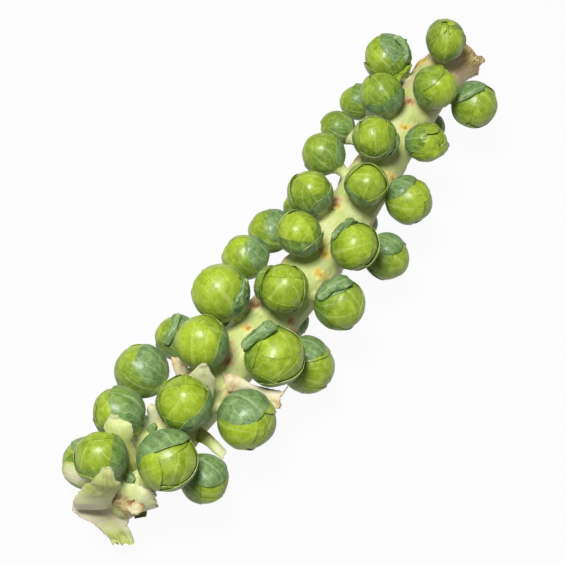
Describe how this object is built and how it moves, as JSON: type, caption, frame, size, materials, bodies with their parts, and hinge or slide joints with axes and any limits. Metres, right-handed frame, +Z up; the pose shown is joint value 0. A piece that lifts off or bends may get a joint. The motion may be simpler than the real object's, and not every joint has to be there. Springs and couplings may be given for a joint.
{
  "type": "brussels sprout stalk",
  "caption": "Harvested vegetable stem laid on its side: a thick bowed stalk crowded with round leafy buds on short necks, with snapped leaf stubs near the crown.",
  "frame": {"origin": "middle of the stalk's footprint, on the surface it lies on", "axes": "+X along the stalk from the cut butt to the crown, +Z up"},
  "size_m": [0.4808, 0.1294, 0.1128],
  "materials": {
    "stalk_skin": "matte",
    "sprout_leaf": "satin",
    "leaf_stub": "matte"
  },
  "bodies": {
    "root": {"stalk": "stalk_skin", "sprout_00": "sprout_leaf", "sprout_01": "sprout_leaf", "sprout_02": "sprout_leaf", "sprout_03": "sprout_leaf", "sprout_04": "sprout_leaf", "sprout_05": "sprout_leaf", "sprout_06": "sprout_leaf", "sprout_08": "sprout_leaf", "sprout_09": "sprout_leaf", "sprout_10": "sprout_leaf", "sprout_11": "sprout_leaf", "sprout_12": "sprout_leaf", "sprout_13": "sprout_leaf", "sprout_14": "sprout_leaf", "sprout_15": "sprout_leaf", "sprout_16": "sprout_leaf", "sprout_17": "sprout_leaf", "sprout_18": "sprout_leaf", "sprout_19": "sprout_leaf", "sprout_20": "sprout_leaf", "sprout_21": "sprout_leaf", "sprout_22": "sprout_leaf", "sprout_23": "sprout_leaf", "sprout_24": "sprout_leaf", "sprout_25": "sprout_leaf", "sprout_26": "sprout_leaf", "sprout_27": "sprout_leaf", "sprout_28": "sprout_leaf", "sprout_29": "sprout_leaf", "sprout_30": "sprout_leaf", "sprout_31": "sprout_leaf", "sprout_32": "sprout_leaf", "sprout_33": "sprout_leaf", "sprout_34": "sprout_leaf", "sprout_35": "sprout_leaf", "sprout_36": "sprout_leaf", "sprout_37": "sprout_leaf", "sprout_39": "sprout_leaf", "sprout_40": "sprout_leaf", "sprout_41": "sprout_leaf", "sprout_42": "sprout_leaf", "sprout_44": "sprout_leaf", "sprout_45": "sprout_leaf", "sprout_46": "sprout_leaf", "sprout_47": "sprout_leaf", "sprout_49": "sprout_leaf", "sprout_50": "sprout_leaf", "sprout_52": "sprout_leaf", "leaf_stub_41": "leaf_stub", "leaf_stub_42": "leaf_stub", "leaf_stub_44": "leaf_stub", "leaf_stub_46": "leaf_stub", "leaf_stub_47": "leaf_stub", "leaf_stub_50": "leaf_stub", "leaf_stub_52": "leaf_stub", "leaf_stub_54": "leaf_stub", "leaf_stub_55": "leaf_stub", "leaf_stub_57": "leaf_stub"}
  },
  "joints": []
}
